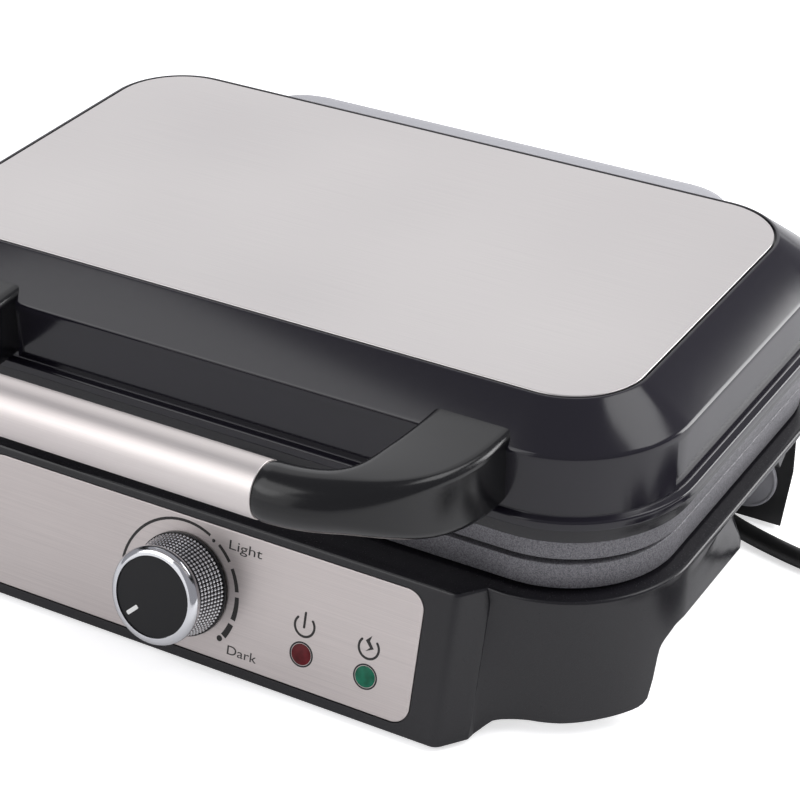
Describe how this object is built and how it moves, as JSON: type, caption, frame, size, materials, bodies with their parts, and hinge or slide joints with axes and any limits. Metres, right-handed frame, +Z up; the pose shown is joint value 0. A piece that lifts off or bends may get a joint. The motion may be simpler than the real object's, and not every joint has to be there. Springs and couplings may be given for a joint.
{
  "type": "waffle maker",
  "caption": "Waffle maker with a hinged gloss-black lid, brushed steel panel and tube handle, a browning knob and two pilot lights on a sloping steel front",
  "frame": {"origin": "on the surface it stands on, under the middle of its footprint, mains lead left out", "axes": "+X to the right across the front, +Y from the front to the hinge, +Z up"},
  "size_m": [0.4452, 0.2767, 0.12],
  "materials": {
    "gloss_black_plastic": "moulded black plastic, high gloss with a faint lavender cast in its reflections",
    "satin_black_plastic": "moulded black plastic, satin, fine even texture",
    "handle_plastic": "moulded black plastic, semi-gloss, fine speckle",
    "under_plastic": "plain black moulding, matt",
    "grey_plastic": "light grey plastic, satin",
    "brushed_panel": "sheet steel brushed along the width, very light",
    "brushed_fascia": "sheet steel brushed across, warm grey",
    "brushed_tube": "steel tube brushed round its girth",
    "cast_plate": "die-cast aluminium with a dark speckled non-stick coat",
    "bright_aluminium": "bright rolled sheet",
    "element_steel": "dull sheathed heating element",
    "zinc_steel": "zinc-plated steel",
    "knob_chrome": "polished chrome plating, knurled on the drum",
    "knob_face_grey": "dark grey lacquer with a soft sheen",
    "white_print": "white printed mark",
    "brass": "turned brass",
    "ceramic": "cream ceramic and phenolic insulation",
    "red_lens": "translucent red lens",
    "green_lens": "translucent green lens",
    "lamp_glass": "neon lamp glass",
    "foot_rubber": "black rubber",
    "cord_rubber": "black rubber sheath, matt",
    "white_tie": "white coated twist tie",
    "nickel_pins": "nickel-plated brass"
  },
  "bodies": {
    "base": {"base_housing": "satin_black_plastic", "bottom_pan": "under_plastic", "terminal_box": "under_plastic", "nose_cover": "under_plastic", "front_plate": "brushed_fascia", "red_lens": "red_lens", "green_lens": "green_lens", "neon_lamps": "lamp_glass", "lamp_holder": "under_plastic", "thermostat_body": "ceramic", "thermostat_bushing": "brass", "lower_plate": "cast_plate", "lower_element": "element_steel", "lower_reflector": "bright_aluminium", "lower_plate_screws": "zinc_steel", "rear_leg_left": "under_plastic", "rear_leg_right": "under_plastic", "leg_caps": "grey_plastic", "rubber_feet": "foot_rubber", "hinge_ear_left": "satin_black_plastic", "hinge_ear_right": "satin_black_plastic", "ear_screws": "zinc_steel", "hinge_pins": "zinc_steel", "terminal_block": "ceramic", "thermal_fuse": "ceramic", "base_screws": "zinc_steel", "cord_gland": "cord_rubber", "cord": "cord_rubber", "cord_coil": "cord_rubber", "cord_tie": "white_tie", "plug_body": "cord_rubber", "plug_pins": "nickel_pins"},
    "lid": {"lid_shell": "gloss_black_plastic", "lid_panel": "brushed_panel", "lid_frame": "satin_black_plastic", "lid_frame_screws": "zinc_steel", "upper_plate": "cast_plate", "upper_element": "element_steel", "upper_reflector": "bright_aluminium", "upper_plate_screws": "zinc_steel", "lid_hinge_block": "grey_plastic", "hinge_block_screws": "zinc_steel", "handle_tube": "brushed_tube", "handle_end_left": "handle_plastic", "handle_end_right": "handle_plastic", "handle_screws": "zinc_steel"},
    "knob": {"knob_core": "handle_plastic", "knob_drum": "knob_chrome", "knob_bezel": "knob_chrome", "knob_face": "knob_face_grey", "knob_pointer": "white_print", "thermostat_shaft": "zinc_steel"}
  },
  "joints": [
    {"name": "lid_hinge", "type": "hinge", "parent": "base", "child": "lid", "pos_m": [0, 0.12635, 0.06], "axis": [-1, 0, 0], "range_deg": [0, 100]},
    {"name": "browning_knob", "type": "hinge", "parent": "base", "child": "knob", "pos_m": [-0.0035, -0.0944, 0.02798], "axis": [0, 0.9622, -0.2723], "range_deg": [0, 245]}
  ]
}
